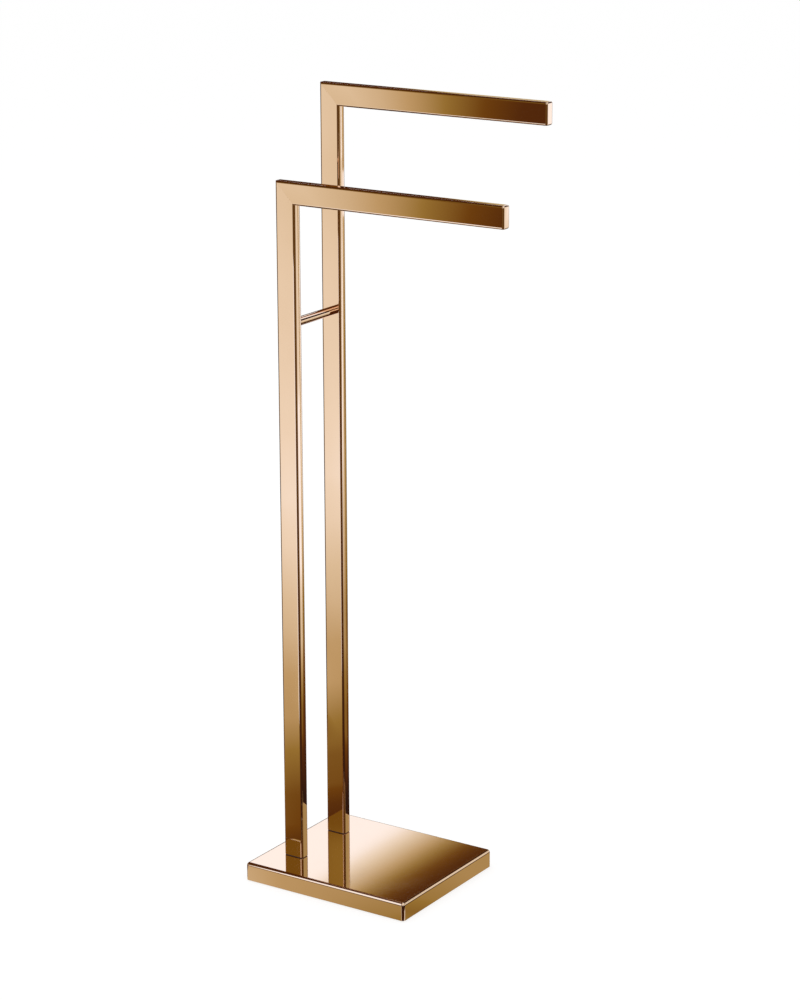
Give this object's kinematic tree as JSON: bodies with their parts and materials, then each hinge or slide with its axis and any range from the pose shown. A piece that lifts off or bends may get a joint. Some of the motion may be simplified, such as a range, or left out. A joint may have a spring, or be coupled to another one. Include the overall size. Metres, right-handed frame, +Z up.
{
  "type": "towel stand",
  "caption": "Freestanding towel stand: staggered L-shaped frames of rectangular tube with open towel arms, tied by a spacer bar, on a weighted rectangular base.",
  "frame": {"origin": "centre of the base, on the floor under the rubber pad", "axes": "+X along the arms, away from the posts; +Y from the lower front frame to the taller rear frame; +Z up"},
  "size_m": [0.3115, 0.185, 0.9],
  "materials": {
    "polished_copper": "polished",
    "plain_steel": "satin",
    "zinc_steel": "satin",
    "black_steel": "satin",
    "cast_iron": "matte",
    "floor_rubber": "matte",
    "gasket_rubber": "matte"
  },
  "bodies": {
    "root": {"base_cover": "polished_copper", "base_weight": "cast_iron", "bottom_plate": "plain_steel", "floor_pad": "floor_rubber", "front_arm": "polished_copper", "front_corner_key": "plain_steel", "front_end_cap": "polished_copper", "front_foot_block": "plain_steel", "front_post": "polished_copper", "plate_screws": "zinc_steel", "post_gaskets": "gasket_rubber", "post_screws": "black_steel", "post_washers": "zinc_steel", "rear_arm": "polished_copper", "rear_corner_key": "plain_steel", "rear_end_cap": "polished_copper", "rear_foot_block": "plain_steel", "rear_post": "polished_copper", "spacer_bar": "polished_copper", "spacer_blocks": "plain_steel", "spacer_grub_screws": "black_steel", "spacer_studs": "plain_steel"}
  },
  "joints": []
}
